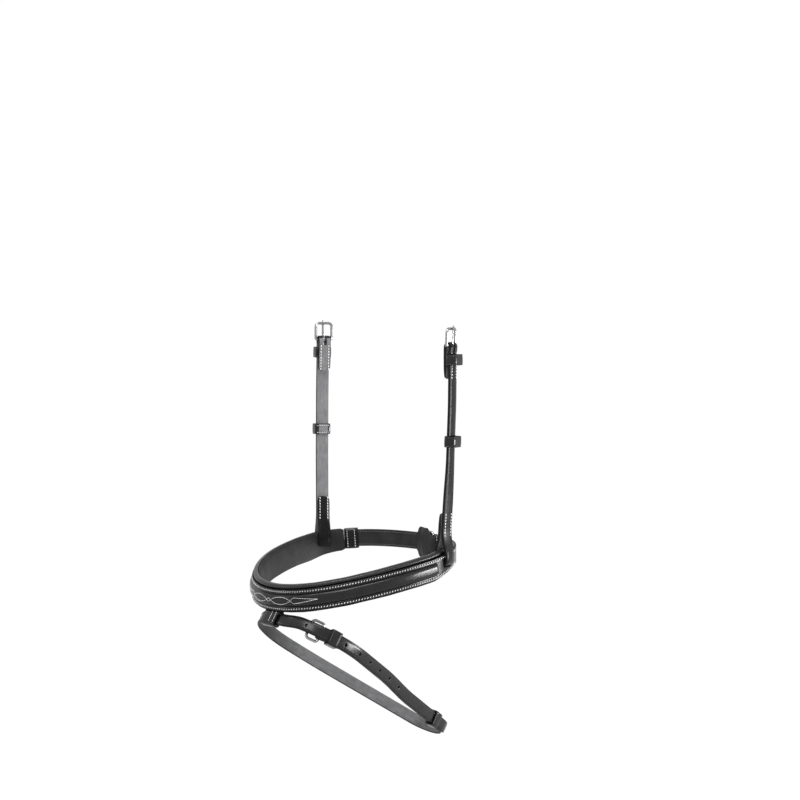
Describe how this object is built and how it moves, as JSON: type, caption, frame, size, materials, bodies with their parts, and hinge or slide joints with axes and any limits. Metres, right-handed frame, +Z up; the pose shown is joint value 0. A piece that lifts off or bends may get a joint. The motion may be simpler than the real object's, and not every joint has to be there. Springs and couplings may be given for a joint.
{
  "type": "bridle noseband",
  "caption": "Padded bridle noseband with hangers that buckle to a headpiece, a chin strap closed over a padded guard, and a flash strap in a tab below.",
  "frame": {"origin": "centre of the space that the muzzle fills, in the middle of the closed band", "axes": "+Z up along the hangers, +X to the horse's near (left) side, -Y to the front of the nose"},
  "size_m": [0.2134, 0.219, 0.4148],
  "materials": {
    "strap_leather": "glossy black bridle leather",
    "lining_leather": "soft matt black lining leather",
    "flesh_leather": "unfinished flesh side",
    "pad_foam": "soft felt padding",
    "buckle_steel": "polished stainless"
  },
  "bodies": {
    "noseband": {"nose_outer_strap": "strap_leather", "nose_raise_filler": "flesh_leather", "nose_backing": "flesh_leather", "nose_lining": "lining_leather", "nose_foam": "pad_foam", "near_hanger_loop": "strap_leather", "off_hanger_loop": "strap_leather", "chin_strap": "strap_leather", "chin_strap_lining": "lining_leather", "chin_near_strap": "strap_leather", "chin_buckle": "buckle_steel", "chin_tongue": "buckle_steel", "chin_keeper": "strap_leather", "off_end_keeper": "strap_leather", "chin_guard": "lining_leather", "flash_tab_anchor": "strap_leather"},
    "near_hanger": {"near_hanger_strap": "strap_leather", "near_upper_keeper": "strap_leather"},
    "near_runner": {"near_lower_runner": "strap_leather"},
    "near_buckle": {"near_hanger_buckle": "buckle_steel"},
    "near_tongue": {"near_hanger_tongue": "buckle_steel"},
    "off_hanger": {"off_hanger_strap": "strap_leather", "off_upper_keeper": "strap_leather"},
    "off_runner": {"off_lower_runner": "strap_leather"},
    "off_buckle": {"off_hanger_buckle": "buckle_steel"},
    "off_tongue": {"off_hanger_tongue": "buckle_steel"},
    "flash_loop": {"flash_tab": "strap_leather"},
    "flash_strap": {"flash_strap": "strap_leather", "flash_buckle": "buckle_steel", "flash_tongue": "buckle_steel", "flash_keeper": "strap_leather"},
    "flash_runner": {"flash_runner": "strap_leather"}
  },
  "joints": [
    {"name": "near_hanger_fold", "type": "hinge", "parent": "noseband", "child": "near_hanger", "pos_m": [0.09129, 0.01855, 0.02737], "axis": [-0.3296, 0.944, -0.0167], "range_deg": [-25, 45]},
    {"name": "near_runner_slide", "type": "slide", "parent": "near_hanger", "child": "near_runner", "axis": [0.021, 0.025, 0.9995], "range_m": [-0.015, 0.025]},
    {"name": "near_buckle_tilt", "type": "hinge", "parent": "near_hanger", "child": "near_buckle", "pos_m": [0.09499, 0.02313, 0.21328], "axis": [-0.3296, 0.944, -0.0167], "range_deg": [-10, 30]},
    {"name": "near_tongue_lift", "type": "hinge", "parent": "near_buckle", "child": "near_tongue", "pos_m": [0.09499, 0.02313, 0.21328], "axis": [-0.3296, 0.944, -0.0167], "range_deg": [0, 65]},
    {"name": "off_hanger_fold", "type": "hinge", "parent": "noseband", "child": "off_hanger", "pos_m": [-0.09129, 0.01855, 0.02737], "axis": [-0.3296, -0.944, 0.0167], "range_deg": [-25, 45]},
    {"name": "off_runner_slide", "type": "slide", "parent": "off_hanger", "child": "off_runner", "axis": [-0.021, 0.025, 0.9995], "range_m": [-0.015, 0.025]},
    {"name": "off_buckle_tilt", "type": "hinge", "parent": "off_hanger", "child": "off_buckle", "pos_m": [-0.09499, 0.02313, 0.21328], "axis": [-0.3296, -0.944, 0.0167], "range_deg": [-10, 30]},
    {"name": "off_tongue_lift", "type": "hinge", "parent": "off_buckle", "child": "off_tongue", "pos_m": [-0.09499, 0.02313, 0.21328], "axis": [-0.3296, -0.944, 0.0167], "range_deg": [0, 65]},
    {"name": "flash_tab_swing", "type": "hinge", "parent": "noseband", "child": "flash_loop", "pos_m": [0, -0.1127, -0.0347], "axis": [1, 0, 0], "range_deg": [-12, 25]},
    {"name": "flash_strap_slide", "type": "hinge", "parent": "flash_loop", "child": "flash_strap", "pos_m": [0, -0.06685, -0.07426], "axis": [0, 0.5446, 0.8387], "range_deg": [-6, 3]},
    {"name": "flash_runner_slide", "type": "slide", "parent": "flash_strap", "child": "flash_runner", "axis": [-0.2169, 0.8187, -0.5317], "range_m": [-0.04, 0.006]}
  ]
}
